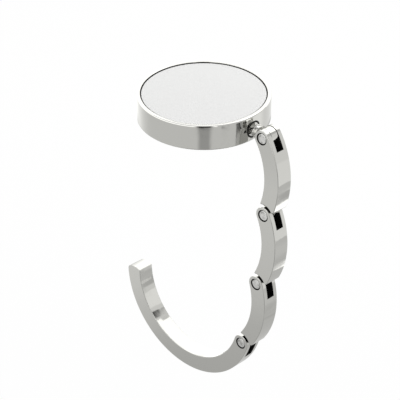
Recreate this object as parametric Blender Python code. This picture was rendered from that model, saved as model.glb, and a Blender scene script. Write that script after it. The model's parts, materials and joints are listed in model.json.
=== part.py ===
"""A folding purse hook: a round disc that rests on a table, and a hinged chain that ends in a hook.

The disc's middle is on the Z axis and its pad's underside is at Z = 0. The stud leaves the rim along
+X, and the chain hangs below it, turned a little about the stud, with every hinge opened to its stop.
Turned flat and folded in, the chain becomes a ring that closes round the disc.
"""
import math

import bmesh
import bpy
from mathutils import Vector

MM = 0.001

# The disc
DISC_DIAMETER = 35.0 * MM
RIM_HEIGHT = 7.1 * MM
RIM_EDGE_ROUND = 0.3 * MM
LIP_WIDTH = 1.0 * MM
TOP_RECESS_DEPTH = 0.8 * MM
INLAY_THICKNESS = 0.5 * MM
SHELL_WALL = 1.5 * MM
SHELL_FLOOR = 0.8 * MM
BASE_PLATE_THICKNESS = 0.6 * MM
PAD_THICKNESS = 1.0 * MM
PAD_PROUD = 0.4 * MM
PAD_EDGE_ROUND = 0.2 * MM
SEAT_GAP = 0.05 * MM
DISC_FIT = 0.12 * MM

# The stud and what holds it in the shell. Its axis is a little below the middle of the rim, and the
# washers are as wide as the hollow between the axis and the base plate lets them be
STUD_LEVEL_SHARE = 0.44
WASHER_CLEARANCE = 0.1 * MM
STUD_WIDTH_SHARE = 0.65
GROOVE_WIDTH_SHARE = 0.68
STUD_RUNNING_CLEARANCE = 0.08 * MM
BOSS_LENGTH = 3.0 * MM
BOSS_WIDTH = 4.6 * MM
STUD_FLANGE_GAP = 0.95 * MM
STUD_FLANGE_DIAMETER = 3.7 * MM
STUD_FLANGE_THICKNESS = 0.45 * MM
STUD_FLANGE_EDGE = 0.12 * MM
STUD_NECK_DIAMETER = 3.4 * MM
STUD_NECK_LENGTH = 0.9 * MM
STUD_NECK_CLEARANCE = 0.2 * MM
STUD_TAIL = 0.5 * MM
STUD_END_CHAMFER = 0.2 * MM
FLAT_WASHER_THICKNESS = 0.3 * MM
WAVE_WASHER_THICKNESS = 0.2 * MM
WAVE_HEIGHT = 0.1 * MM
WAVE_COUNT = 3
CLIP_THICKNESS = 0.35 * MM
CLIP_MOUTH_SHARE = 0.8
CLIP_FIT = 0.05 * MM

# The chain: three equal links and the hook, all arcs of the one ring that folds round the disc
RING_CLEARANCE = 1.5 * MM
LINK_DEPTH = 4.8 * MM
LINK_WIDTH = 5.0 * MM
LINK_ANGLE = math.radians(61.0)
HOOK_ANGLE = math.radians(162.0)
LINK_EDGE_ROUND = 0.18 * MM
SWIVEL_TURN = math.radians(-2.9)
HINGE_OPENINGS = [math.radians(36.0), math.radians(53.0), math.radians(53.0), math.radians(26.0)]

# The fork at the top of each link and of the hook, with a stop web left across the slot on its inner side
SLOT_WIDTH = 2.5 * MM
SLOT_DEPTH = 4.6 * MM
STOP_WEB_THICKNESS = 0.7 * MM
STOP_WEB_TOP = 1.75 * MM
STOP_WEB_KNEE = 2.3 * MM

# The tongue at the bottom of each link, and on the stud, with a heel that meets the stop web
TONGUE_SIDE_CLEARANCE = 0.15 * MM
KNUCKLE_TONGUE_RADIUS = 2.35 * MM
LINK_TONGUE_RADIUS = 1.95 * MM
TONGUE_ROOT = 6.0 * MM
NECK_SET_BACK = 0.3 * MM
HEEL_REACH = 3.1 * MM
HEEL_CLEARANCE = 0.06 * MM
SHOULDER_GAP = 0.85 * MM
OUTER_SHOULDER_ROUND = 0.7 * MM
INNER_SHOULDER_ROUND = 0.25 * MM

# The hook's tip
TIP_OUTER_ROUND = 1.1 * MM
TIP_INNER_ROUND = 0.5 * MM

# The rivet pins
PIN_DIAMETER = 1.6 * MM
PIN_SEAT_CLEARANCE = 0.05 * MM
PIN_RUNNING_CLEARANCE = 0.08 * MM
PIN_HEAD_DIAMETER = 2.9 * MM
PIN_HEAD_THICKNESS = 0.5 * MM
PIN_HEAD_GROOVE = 0.2 * MM
PIN_DOME_HEIGHT = 0.12 * MM
PIN_DOME_MARGIN = 0.24 * MM
PIN_PEENED_DIAMETER = 2.3 * MM
PIN_PEENED_THICKNESS = 0.4 * MM
PIN_PEENED_GROOVE = 0.15 * MM
PIN_SET_BACK = 0.04 * MM

# Cutters run past what they cut by the overrun, and points nearer than the least step count as one
OVERRUN = 0.6 * MM
LEAST_STEP = 0.0006 * MM

# Facets
RING_STEP = math.radians(3.0)
EAR_STEP = math.radians(15.0)
ROUND_STEP = math.radians(22.5)
DISC_SEGMENTS = 72
STUD_SEGMENTS = 24
PIN_SEGMENTS = 20
WAVE_SEGMENTS = 12

# What follows from the sizes above
RIM_RADIUS = DISC_DIAMETER / 2
RIM_BOTTOM = PAD_PROUD
RIM_TOP = RIM_BOTTOM + RIM_HEIGHT
STUD_HEIGHT = RIM_BOTTOM + RIM_HEIGHT * STUD_LEVEL_SHARE
RECESS_RADIUS = RIM_RADIUS - LIP_WIDTH
CAVITY_RADIUS = RIM_RADIUS - SHELL_WALL
TOP_FACE = RIM_TOP - TOP_RECESS_DEPTH
CAVITY_TOP = TOP_FACE - SHELL_FLOOR
BASE_BOTTOM = PAD_THICKNESS + SEAT_GAP
BASE_TOP = BASE_BOTTOM + BASE_PLATE_THICKNESS
LEDGE_HEIGHT = BASE_TOP + SEAT_GAP
BOSS_FACE = CAVITY_RADIUS - BOSS_LENGTH
WASHER_RADIUS = STUD_HEIGHT - BASE_TOP - WASHER_CLEARANCE
STUD_RADIUS = WASHER_RADIUS * STUD_WIDTH_SHARE
STUD_BORE_RADIUS = STUD_RADIUS + STUD_RUNNING_CLEARANCE
STUD_GROOVE_RADIUS = STUD_RADIUS * GROOVE_WIDTH_SHARE
CLIP_MOUTH = CLIP_MOUTH_SHARE * 2 * STUD_GROOVE_RADIUS
EAR_RADIUS = LINK_DEPTH / 2
FOLDED_RING_RADIUS = RIM_RADIUS + RING_CLEARANCE + EAR_RADIUS
STUD_FLANGE_FACE = RIM_RADIUS + STUD_FLANGE_GAP
STUD_NECK_START = STUD_FLANGE_FACE + STUD_FLANGE_THICKNESS
STUD_NECK_END = STUD_NECK_START + STUD_NECK_LENGTH
FIRST_PIN_REACH = STUD_NECK_END + STUD_NECK_CLEARANCE + EAR_RADIUS
TONGUE_WIDTH = SLOT_WIDTH - 2 * TONGUE_SIDE_CLEARANCE
STOP_WEB_FACE = EAR_RADIUS - STOP_WEB_THICKNESS
SHOULDER_RADIUS = EAR_RADIUS + SHOULDER_GAP
RING_INNER = FOLDED_RING_RADIUS - EAR_RADIUS
RING_OUTER = FOLDED_RING_RADIUS + EAR_RADIUS
RING_CENTRE = Vector((-FOLDED_RING_RADIUS, 0))


def clear_scene():
    """Remove every object, so that the model starts from nothing."""
    for old in list(bpy.data.objects):
        bpy.data.objects.remove(old, do_unlink=True)


def material(name, colour, roughness, metallic):
    """A plain Principled material."""
    made = bpy.data.materials.new(name)
    made.use_nodes = True
    shader = made.node_tree.nodes["Principled BSDF"]
    shader.inputs["Base Color"].default_value = (*colour, 1)
    shader.inputs["Roughness"].default_value = roughness
    shader.inputs["Metallic"].default_value = metallic
    made.diffuse_color = (*colour, 1)
    return made


def add_object(name, mesh, surface, parent=None):
    """Link an object for a mesh, with its material, under its parent."""
    made = bpy.data.objects.new(name, mesh)
    mesh.materials.append(surface)
    bpy.context.collection.objects.link(made)
    made.parent = parent
    return made


def finish_mesh(name, shape):
    """Turn a bmesh into a mesh with its faces pointing out and its round faces shaded smooth."""
    bmesh.ops.recalc_face_normals(shape, faces=shape.faces)
    mesh = bpy.data.meshes.new(name)
    shape.to_mesh(mesh)
    shape.free()
    mesh.shade_smooth()
    mesh.set_sharp_from_angle(angle=math.radians(30))
    return mesh


def prism(name, outline, low, high):
    """An outline in the XZ plane, extruded along Y from low to high."""
    shape = bmesh.new()
    first = [shape.verts.new((x, low, z)) for x, z in outline]
    face = shape.faces.new(first)
    grown = bmesh.ops.extrude_face_region(shape, geom=[face])
    moved = [item for item in grown["geom"] if isinstance(item, bmesh.types.BMVert)]
    bmesh.ops.translate(shape, verts=moved, vec=(0, high - low, 0))
    return finish_mesh(name, shape)


def turned(name, profile, segments, axis):
    """A profile of (place along the axis, radius) turned about X, Y or Z.

    A profile that starts and ends on the axis makes a solid; any other closes on itself and makes a ring.
    """
    turns = {"X": lambda a, u, v: (a, u, v), "Y": lambda a, u, v: (v, a, u), "Z": lambda a, u, v: (u, v, a)}
    place = turns[axis]
    shape = bmesh.new()
    rows = []
    for along, radius in profile:
        if radius == 0:
            rows.append([shape.verts.new(place(along, 0, 0))] * segments)
            continue
        angles = [2 * math.pi * step / segments for step in range(segments)]
        row = [shape.verts.new(place(along, radius * math.cos(t), radius * math.sin(t))) for t in angles]
        rows.append(row)
    if profile[0][1] > 0:
        rows.append(rows[0])
    for above, below in zip(rows, rows[1:]):
        for step in range(segments):
            following = (step + 1) % segments
            corners = [above[step], above[following], below[following], below[step]]
            shape.faces.new(list(dict.fromkeys(corners)))
    return finish_mesh(name, shape)


def arc(centre, radius, start, end, step):
    """Points along an arc from one angle to another, both ends included."""
    count = max(1, math.ceil(abs(end - start) / step - 1e-6))
    angles = [start + (end - start) * i / count for i in range(count + 1)]
    return [(centre[0] + radius * math.cos(t), centre[1] + radius * math.sin(t)) for t in angles]


def ring_point(radius, angle):
    """The point at an angle down the ring from the upper pin, in a link's own plane."""
    return Vector((RING_CENTRE[0] + radius * math.cos(angle), -radius * math.sin(angle)))


def heading(start, end):
    """The angle of the direction from one point to another."""
    return math.atan2(end[1] - start[1], end[0] - start[0])


def boolean(target, tool, operation):
    """Join or cut an object with a tool, which moves with it and stays out of the model."""
    tool.parent = target
    tool.hide_render = True
    tool.display_type = "WIRE"
    step = target.modifiers.new(tool.name, "BOOLEAN")
    step.operation = operation
    step.solver = "EXACT"
    step.object = tool


def soften_edges(target, width):
    """Break the sharp edges of a prism before anything is cut in it."""
    step = target.modifiers.new("edge_round", "BEVEL")
    step.width = width
    step.segments = 1
    step.limit_method = "ANGLE"
    step.angle_limit = math.radians(60)


def place_without_repeats(points):
    """Drop a point that falls on the one before it."""
    kept = []
    for point in points:
        if not kept or (Vector(point) - Vector(kept[-1])).length > LEAST_STEP:
            kept.append(point)
    return kept


def disc_shell(chrome, parent):
    """The cast housing: a shallow recess above, a hollow below for the stud's end, and its boss."""
    edge = RIM_EDGE_ROUND
    middle = edge * (1 - math.cos(math.pi / 4))
    profile = [(TOP_FACE, 0), (TOP_FACE, RECESS_RADIUS), (RIM_TOP - edge / 2, RECESS_RADIUS)]
    profile += [(RIM_TOP, RECESS_RADIUS + edge / 2), (RIM_TOP, RIM_RADIUS - edge)]
    profile += [(RIM_TOP - middle, RIM_RADIUS - middle), (RIM_TOP - edge, RIM_RADIUS)]
    profile += [(RIM_BOTTOM + edge, RIM_RADIUS), (RIM_BOTTOM + middle, RIM_RADIUS - middle)]
    profile += [(RIM_BOTTOM, RIM_RADIUS - edge), (RIM_BOTTOM, RECESS_RADIUS)]
    profile += [(LEDGE_HEIGHT, RECESS_RADIUS), (LEDGE_HEIGHT, CAVITY_RADIUS)]
    profile += [(CAVITY_TOP, CAVITY_RADIUS), (CAVITY_TOP, 0)]
    shell = add_object("disc_shell", turned("disc_shell", profile, DISC_SEGMENTS, "Z"), chrome, parent)
    back = CAVITY_RADIUS + SHELL_WALL / 2
    low = LEDGE_HEIGHT + SEAT_GAP
    high = CAVITY_TOP + SHELL_FLOOR / 2
    outline = [(BOSS_FACE, low), (back, low), (back, high), (BOSS_FACE, high)]
    block = prism("stud_boss", outline, -BOSS_WIDTH / 2, BOSS_WIDTH / 2)
    boolean(shell, add_object("stud_boss_tool", block, chrome), "UNION")
    hole = [(BOSS_FACE - OVERRUN, 0), (BOSS_FACE - OVERRUN, STUD_BORE_RADIUS)]
    hole += [(RIM_RADIUS + OVERRUN, STUD_BORE_RADIUS), (RIM_RADIUS + OVERRUN, 0)]
    drill = add_object("stud_bore_tool", turned("stud_bore", hole, STUD_SEGMENTS, "X"), chrome)
    drill.location.z = STUD_HEIGHT
    boolean(shell, drill, "DIFFERENCE")
    return shell


def flat_disc(name, radius, bottom, thickness, edge, surface, parent):
    """A plain round disc on the Z axis with both edges broken."""
    top = bottom + thickness
    profile = [(top, 0), (top, radius - edge), (top - edge, radius), (bottom + edge, radius)]
    profile += [(bottom, radius - edge), (bottom, 0)]
    return add_object(name, turned(name, profile, DISC_SEGMENTS, "Z"), surface, parent)


def flat_washer(face, surface, parent):
    """A flat ring on the stud's axis, from a face inward."""
    back = face - FLAT_WASHER_THICKNESS
    profile = [(face, STUD_BORE_RADIUS), (face, WASHER_RADIUS)]
    profile += [(back, WASHER_RADIUS), (back, STUD_BORE_RADIUS)]
    mesh = turned("flat_washer", profile, STUD_SEGMENTS, "X")
    made = add_object("flat_washer", mesh, surface, parent)
    made.location.z = STUD_HEIGHT
    return made


def wave_washer(face, surface, parent):
    """A spring ring on the stud's axis, bent into even waves."""
    shape = bmesh.new()
    rows = []
    segments = WAVE_COUNT * WAVE_SEGMENTS
    for step in range(segments):
        turn = 2 * math.pi * step / segments
        middle = face - WAVE_WASHER_THICKNESS / 2 - WAVE_HEIGHT * (1 - math.cos(WAVE_COUNT * turn)) / 2
        row = []
        inner, outer = STUD_BORE_RADIUS, WASHER_RADIUS
        for side, radius in ((1, inner), (1, outer), (-1, outer), (-1, inner)):
            along = middle + side * WAVE_WASHER_THICKNESS / 2
            row.append(shape.verts.new((along, radius * math.cos(turn), radius * math.sin(turn))))
        rows.append(row)
    for first, second in zip(rows, rows[1:] + rows[:1]):
        for corner in range(4):
            following = (corner + 1) % 4
            shape.faces.new((first[corner], first[following], second[following], second[corner]))
    made = add_object("wave_washer", finish_mesh("wave_washer", shape), surface, parent)
    made.location.z = STUD_HEIGHT
    return made


def retaining_clip(face, surface, parent):
    """An open ring that snaps into the stud's groove, its mouth downward."""
    groove = STUD_GROOVE_RADIUS + CLIP_FIT
    outer_gap = math.asin(CLIP_MOUTH / 2 / WASHER_RADIUS)
    inner_gap = math.asin(CLIP_MOUTH / 2 / groove)
    down = -math.pi / 2
    outline = arc((0, 0), WASHER_RADIUS, down + outer_gap, down + 2 * math.pi - outer_gap, ROUND_STEP)
    outline += arc((0, 0), groove, down + 2 * math.pi - inner_gap, down + inner_gap, ROUND_STEP)
    mesh = prism("retaining_clip", outline, -CLIP_THICKNESS / 2, CLIP_THICKNESS / 2)
    made = add_object("retaining_clip", mesh, surface, parent)
    made.location = (face - CLIP_THICKNESS / 2, 0, 0)
    made.rotation_euler.z = math.pi / 2
    return made


def stud_stack():
    """Where the washers, the clip and the stud's tail lie, each from the boss's face inward."""
    flat = BOSS_FACE - SEAT_GAP
    wave = flat - FLAT_WASHER_THICKNESS - SEAT_GAP
    clip = wave - WAVE_WASHER_THICKNESS - WAVE_HEIGHT - SEAT_GAP
    groove_end = clip - CLIP_THICKNESS - CLIP_FIT
    tail = groove_end - STUD_TAIL
    return {"flat": flat, "wave": wave, "clip": clip, "groove_end": groove_end, "tail": tail}


def stop_face_turn(tongue_radius):
    """How far the normal of a fork's stop face lies below the outward normal.

    The face passes the web's knee, and its distance from the pin is the tongue's radius and the clearance.
    """
    knee = Vector((STOP_WEB_FACE, STOP_WEB_KNEE))
    knee_turn = math.pi - math.atan2(knee.y, knee.x)
    return knee_turn + math.acos((tongue_radius + HEEL_CLEARANCE) / knee.length)


def tongue_end(centre, radius, outward, opening, last_turn):
    """The round end of a tongue, from its outer side down past the heel to a last turn on its inner side.

    The heel is a corner between two flanks that touch the round end, and its inner flank lies on the
    stop face when the hinge is open.
    """
    flank = math.acos(radius / HEEL_REACH)
    inner_flank = stop_face_turn(radius) - opening
    corner = outward - inner_flank + flank
    points = arc(centre, radius, outward, min(outward, corner + flank), EAR_STEP)
    points.append((centre[0] + HEEL_REACH * math.cos(corner), centre[1] + HEEL_REACH * math.sin(corner)))
    points += arc(centre, radius, outward - inner_flank, outward - last_turn, EAR_STEP)
    return points


def swivel_knuckle(chrome, parent):
    """The stud, its flange outside the rim, and the tongue that the first link hangs on."""
    stack = stud_stack()
    tail = stack["tail"]
    groove_start = stack["clip"] + CLIP_FIT
    shaft = STUD_RADIUS
    groove = STUD_GROOVE_RADIUS
    flange = STUD_FLANGE_DIAMETER / 2
    neck = STUD_NECK_DIAMETER / 2
    edge = STUD_FLANGE_EDGE
    profile = [(tail, 0), (tail, shaft - STUD_END_CHAMFER), (tail + STUD_END_CHAMFER, shaft)]
    profile += [(stack["groove_end"], shaft), (stack["groove_end"], groove)]
    profile += [(groove_start, groove), (groove_start, shaft)]
    profile += [(STUD_FLANGE_FACE, shaft), (STUD_FLANGE_FACE, flange - edge)]
    profile += [(STUD_FLANGE_FACE + edge, flange), (STUD_NECK_START - edge, flange)]
    profile += [(STUD_NECK_START, flange - edge), (STUD_NECK_START, neck)]
    profile += [(STUD_NECK_END, neck), (STUD_NECK_END, 0)]
    mesh = turned("swivel_knuckle", profile, STUD_SEGMENTS, "X")
    knuckle = add_object("swivel_knuckle", mesh, chrome, parent)
    knuckle.location.z = STUD_HEIGHT
    pin = Vector((FIRST_PIN_REACH, 0))
    half = neck - NECK_SET_BACK
    root = STUD_NECK_START - STUD_FLANGE_THICKNESS / 2
    neck_turn = math.pi - math.asin(half / KNUCKLE_TONGUE_RADIUS)
    outline = [(root, -half), (root, half)]
    outline += arc(pin, KNUCKLE_TONGUE_RADIUS, neck_turn, 0, EAR_STEP)
    outline += tongue_end(pin, KNUCKLE_TONGUE_RADIUS, 0, HINGE_OPENINGS[0], neck_turn)
    mesh = prism("knuckle_tongue", place_without_repeats(outline), -TONGUE_WIDTH / 2, TONGUE_WIDTH / 2)
    boolean(knuckle, add_object("knuckle_tongue_tool", mesh, chrome), "UNION")
    bore_hole(knuckle, "knuckle", pin, PIN_DIAMETER / 2 + PIN_RUNNING_CLEARANCE, TONGUE_WIDTH)
    return knuckle


def bore_hole(target, name, centre, radius, width):
    """Cut a round hole along Y through a width about the middle plane."""
    reach = width / 2 + OVERRUN / 2
    profile = [(-reach, 0), (-reach, radius), (reach, radius), (reach, 0)]
    mesh = turned(name + "_bore", profile, PIN_SEGMENTS, "Y")
    drill = add_object(name + "_bore_tool", mesh, target.data.materials[0])
    drill.location = (centre[0], 0, centre[1])
    boolean(target, drill, "DIFFERENCE")


def pin_hole(target, name):
    """Cut a rivet pin's seat through a fork: a recess for the head, a hole, and one for the far end."""
    side = LINK_WIDTH / 2
    shank = PIN_DIAMETER / 2 + PIN_SEAT_CLEARANCE
    head = PIN_HEAD_DIAMETER / 2 + PIN_HEAD_GROOVE
    peened = PIN_PEENED_DIAMETER / 2 + PIN_PEENED_GROOVE
    head_floor = -side + PIN_SET_BACK + PIN_HEAD_THICKNESS + SEAT_GAP
    peened_floor = side - PIN_SET_BACK - PIN_PEENED_THICKNESS - SEAT_GAP
    profile = [(-side - OVERRUN, 0), (-side - OVERRUN, head), (head_floor, head), (head_floor, shank)]
    profile += [(peened_floor, shank), (peened_floor, peened), (side + OVERRUN, peened), (side + OVERRUN, 0)]
    mesh = turned(name + "_pin", profile, PIN_SEGMENTS, "Y")
    drill = add_object(name + "_pin_tool", mesh, target.data.materials[0])
    boolean(target, drill, "DIFFERENCE")


def fork_slot(target, name, tongue_radius):
    """Cut the slot between the ears, which the stop web closes on the inner side below the pin."""
    side = EAR_RADIUS + OVERRUN
    lean = (STOP_WEB_KNEE - STOP_WEB_TOP) * math.tan(math.pi - stop_face_turn(tongue_radius))
    outline = [(side, -SLOT_DEPTH), (side, side), (-side, side), (-side, -STOP_WEB_TOP)]
    outline += [(-STOP_WEB_FACE - lean, -STOP_WEB_TOP), (-STOP_WEB_FACE, -STOP_WEB_KNEE)]
    outline += [(-STOP_WEB_FACE, -SLOT_DEPTH)]
    mesh = prism(name + "_slot", outline, -SLOT_WIDTH / 2, SLOT_WIDTH / 2)
    boolean(target, add_object(name + "_slot_tool", mesh, target.data.materials[0]), "DIFFERENCE")


def corner_turn(side_radius, corner):
    """The angle at the ring's centre between the lower pin and the middle of a shoulder corner's round."""
    far = SHOULDER_RADIUS + corner
    near = FOLDED_RING_RADIUS
    return math.acos((side_radius ** 2 + near ** 2 - far ** 2) / (2 * side_radius * near))


def link_outline():
    """A link's body: round ears above, ring arcs at the sides, a hollow shoulder round the lower pin."""
    pin = ring_point(FOLDED_RING_RADIUS, LINK_ANGLE)
    outer_middle_radius = RING_OUTER - OUTER_SHOULDER_ROUND
    inner_middle_radius = RING_INNER + INNER_SHOULDER_ROUND
    outer_turn = LINK_ANGLE - corner_turn(outer_middle_radius, OUTER_SHOULDER_ROUND)
    inner_turn = LINK_ANGLE - corner_turn(inner_middle_radius, INNER_SHOULDER_ROUND)
    outer_middle = ring_point(outer_middle_radius, outer_turn)
    inner_middle = ring_point(inner_middle_radius, inner_turn)
    to_pin_outer = heading(outer_middle, pin)
    to_pin_inner = heading(inner_middle, pin)
    points = arc((0, 0), EAR_RADIUS, math.pi, 0, EAR_STEP)
    points += arc(RING_CENTRE, RING_OUTER, 0, -outer_turn, RING_STEP)
    points += arc(outer_middle, OUTER_SHOULDER_ROUND, -outer_turn, to_pin_outer, ROUND_STEP)
    points += arc(pin, SHOULDER_RADIUS, to_pin_outer + math.pi, to_pin_inner + math.pi, EAR_STEP)
    points += arc(inner_middle, INNER_SHOULDER_ROUND, to_pin_inner, -inner_turn - math.pi, ROUND_STEP)
    points += arc(RING_CENTRE, RING_INNER, -inner_turn, 0, RING_STEP)
    return place_without_repeats(points[:-1])


def link_tongue_outline(opening):
    """The tongue that leaves a link's body and ends round the lower pin."""
    pin = ring_point(FOLDED_RING_RADIUS, LINK_ANGLE)
    root = LINK_ANGLE - TONGUE_ROOT / FOLDED_RING_RADIUS
    outer = FOLDED_RING_RADIUS + LINK_TONGUE_RADIUS
    inner = FOLDED_RING_RADIUS - LINK_TONGUE_RADIUS
    points = arc(RING_CENTRE, outer, -root, -LINK_ANGLE, RING_STEP)
    points += tongue_end(pin, LINK_TONGUE_RADIUS, -LINK_ANGLE, opening, math.pi)
    points += arc(RING_CENTRE, inner, -LINK_ANGLE, -root, RING_STEP)
    return place_without_repeats(points)


def link(name, upper_tongue_radius, next_opening, chrome, parent):
    """One short link, its origin on its upper pin."""
    mesh = prism(name, link_outline(), -LINK_WIDTH / 2, LINK_WIDTH / 2)
    made = add_object(name, mesh, chrome, parent)
    soften_edges(made, LINK_EDGE_ROUND)
    tongue = prism(name + "_tongue", link_tongue_outline(next_opening), -TONGUE_WIDTH / 2, TONGUE_WIDTH / 2)
    boolean(made, add_object(name + "_tongue_tool", tongue, chrome), "UNION")
    fork_slot(made, name, upper_tongue_radius)
    pin_hole(made, name)
    lower_pin = ring_point(FOLDED_RING_RADIUS, LINK_ANGLE)
    bore_hole(made, name + "_tongue", lower_pin, PIN_DIAMETER / 2 + PIN_RUNNING_CLEARANCE, TONGUE_WIDTH)
    return made


def hook_outline():
    """The hook: round ears above, ring arcs at the sides, and a square tip with rounded corners."""
    outer_middle_radius = RING_OUTER - TIP_OUTER_ROUND
    inner_middle_radius = RING_INNER + TIP_INNER_ROUND
    outer_turn = HOOK_ANGLE - math.asin(TIP_OUTER_ROUND / outer_middle_radius)
    inner_turn = HOOK_ANGLE - math.asin(TIP_INNER_ROUND / inner_middle_radius)
    outer_middle = ring_point(outer_middle_radius, outer_turn)
    inner_middle = ring_point(inner_middle_radius, inner_turn)
    tip = -HOOK_ANGLE - math.pi / 2
    points = arc((0, 0), EAR_RADIUS, math.pi, 0, EAR_STEP)
    points += arc(RING_CENTRE, RING_OUTER, 0, -outer_turn, RING_STEP)
    points += arc(outer_middle, TIP_OUTER_ROUND, -outer_turn, tip, ROUND_STEP)
    points += arc(inner_middle, TIP_INNER_ROUND, tip, -inner_turn - math.pi, ROUND_STEP)
    points += arc(RING_CENTRE, RING_INNER, -inner_turn, 0, RING_STEP)
    return place_without_repeats(points[:-1])


def hook_arm(chrome, parent):
    """The long arm that the bag hangs on, its origin on its pin."""
    mesh = prism("hook_arm", hook_outline(), -LINK_WIDTH / 2, LINK_WIDTH / 2)
    made = add_object("hook_arm", mesh, chrome, parent)
    soften_edges(made, LINK_EDGE_ROUND)
    fork_slot(made, "hook_arm", LINK_TONGUE_RADIUS)
    pin_hole(made, "hook_arm")
    return made


def hinge_pin(name, chrome, parent):
    """A rivet pin: a domed head in the near ear, a shank, and a peened end in the far ear."""
    side = LINK_WIDTH / 2 - PIN_SET_BACK
    shank = PIN_DIAMETER / 2
    head = PIN_HEAD_DIAMETER / 2
    peened = PIN_PEENED_DIAMETER / 2
    profile = [(-side, 0), (-side, head - PIN_DOME_MARGIN), (-side + PIN_DOME_HEIGHT, head)]
    profile += [(-side + PIN_HEAD_THICKNESS, head), (-side + PIN_HEAD_THICKNESS, shank)]
    profile += [(side - PIN_PEENED_THICKNESS, shank), (side - PIN_PEENED_THICKNESS, peened)]
    profile += [(side - PIN_DOME_HEIGHT, peened), (side, peened - PIN_DOME_MARGIN), (side, 0)]
    return add_object(name, turned(name, profile, PIN_SEGMENTS, "Y"), chrome, parent)


def build():
    """Every piece, the disc's first and then the chain from the stud down to the hook."""
    clear_scene()
    chrome = material("chrome_plate", (0.72, 0.72, 0.70), 0.08, 1)
    pin_steel = material("pin_steel", (0.62, 0.62, 0.61), 0.15, 1)
    spring_steel = material("spring_steel", (0.35, 0.35, 0.36), 0.3, 1)
    zinc = material("plated_steel", (0.55, 0.55, 0.54), 0.35, 1)
    inlay = material("pale_inlay", (0.80, 0.80, 0.79), 0.35, 0)
    rubber = material("black_rubber", (0.03, 0.03, 0.03), 0.8, 0)

    shell = disc_shell(chrome, None)
    disc_radius = RECESS_RADIUS - DISC_FIT
    flat_disc("inlay_disc", disc_radius, TOP_FACE + SEAT_GAP, INLAY_THICKNESS, SEAT_GAP, inlay, shell)
    flat_disc("base_plate", disc_radius, BASE_BOTTOM, BASE_PLATE_THICKNESS, SEAT_GAP, zinc, shell)
    flat_disc("grip_pad", disc_radius, 0, PAD_THICKNESS, PAD_EDGE_ROUND, rubber, shell)

    stack = stud_stack()
    flat_washer(stack["flat"], zinc, shell)
    wave_washer(stack["wave"], spring_steel, shell)
    knuckle = swivel_knuckle(chrome, None)
    knuckle.rotation_euler.x = SWIVEL_TURN
    retaining_clip(stack["clip"], spring_steel, knuckle)

    upper = knuckle
    place = (FIRST_PIN_REACH, 0, 0)
    turn = -HINGE_OPENINGS[0]
    lower_pin = ring_point(FOLDED_RING_RADIUS, LINK_ANGLE)
    tongue_radii = [KNUCKLE_TONGUE_RADIUS, LINK_TONGUE_RADIUS, LINK_TONGUE_RADIUS]
    for number, tongue_radius in enumerate(tongue_radii, start=1):
        upper = link(f"link_{number}", tongue_radius, HINGE_OPENINGS[number], chrome, upper)
        upper.location = place
        upper.rotation_euler.y = turn
        hinge_pin(f"hinge_pin_{number}", pin_steel, upper)
        place = (lower_pin.x, 0, lower_pin.y)
        turn = LINK_ANGLE - HINGE_OPENINGS[number]
    hook = hook_arm(chrome, upper)
    hook.location = place
    hook.rotation_euler.y = turn
    hinge_pin("hinge_pin_4", pin_steel, hook)


build()
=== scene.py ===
"""The finished look of a folding purse hook: a chrome disc with a pale inlay, and a chain with a hook below.

A piece's sizes are in millimetres until its mesh is made, and the studio's are in metres. The frame is the
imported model's own.
"""
import json
import math
from collections import namedtuple

import bpy
import numpy as np
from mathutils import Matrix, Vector
from mathutils.geometry import tessellate_polygon


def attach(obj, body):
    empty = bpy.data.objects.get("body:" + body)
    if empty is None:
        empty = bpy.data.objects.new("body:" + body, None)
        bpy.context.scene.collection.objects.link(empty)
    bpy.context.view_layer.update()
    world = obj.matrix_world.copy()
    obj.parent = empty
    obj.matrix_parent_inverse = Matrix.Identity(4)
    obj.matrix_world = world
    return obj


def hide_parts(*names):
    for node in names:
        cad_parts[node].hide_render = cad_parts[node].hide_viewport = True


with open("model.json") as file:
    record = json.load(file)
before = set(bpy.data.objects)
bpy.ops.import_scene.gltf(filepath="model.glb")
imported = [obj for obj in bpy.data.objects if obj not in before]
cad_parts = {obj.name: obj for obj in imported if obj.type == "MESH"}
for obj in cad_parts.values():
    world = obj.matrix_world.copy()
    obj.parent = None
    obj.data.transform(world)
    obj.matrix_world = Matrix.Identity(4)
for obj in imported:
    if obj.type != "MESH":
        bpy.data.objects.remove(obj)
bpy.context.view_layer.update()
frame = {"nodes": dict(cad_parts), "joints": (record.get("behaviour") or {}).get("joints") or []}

scene = bpy.context.scene
scene.view_settings.view_transform = "Standard"


# The camera, at the photograph's angle: a long lens about 0.4 m away, which stands above the disc and to the
# left of the chain. It is rolled a little, as the photograph is.
CAMERA_PLACE = (0.23858, -0.24857, 0.19971)
CAMERA_TURN_DEG = (56.789, 0.0, 43.991)
CAMERA_LENS = 137.243

camera = bpy.data.objects.new("camera", bpy.data.cameras.new("camera"))
camera.data.lens = CAMERA_LENS
camera.data.sensor_width = 36
camera.location = CAMERA_PLACE
camera.rotation_euler = np.radians(CAMERA_TURN_DEG)
scene.collection.objects.link(camera)
scene.camera = camera


# The studio: a pale floor well below the hook that takes its shadow, a white surround that the camera and
# metal see but that lights the rest less, and two soft lamps above.
FLOOR_HEIGHT = -0.200
FLOOR_HALF = 3.0
FLOOR_COLOUR = (0.85, 0.85, 0.85, 1)
FLOOR_GLOW = 1.02
FLOOR_GLOW_SHARE = 0.90
SURROUND_LIGHT = 0.41
WHITE = (1, 1, 1, 1)
MIDDLE = (0, 0, -0.035)


def node(tree, kind, x=0, y=0, **settings):
    """Adds a shader node, with its settings and the values of its input sockets by name."""
    made = tree.nodes.new(kind)
    made.location = (x, y)
    for name, value in settings.items():
        if name in made.bl_rna.properties.keys():
            setattr(made, name, value)
        else:
            made.inputs[name.replace("_", " ")].default_value = value
    return made


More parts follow.
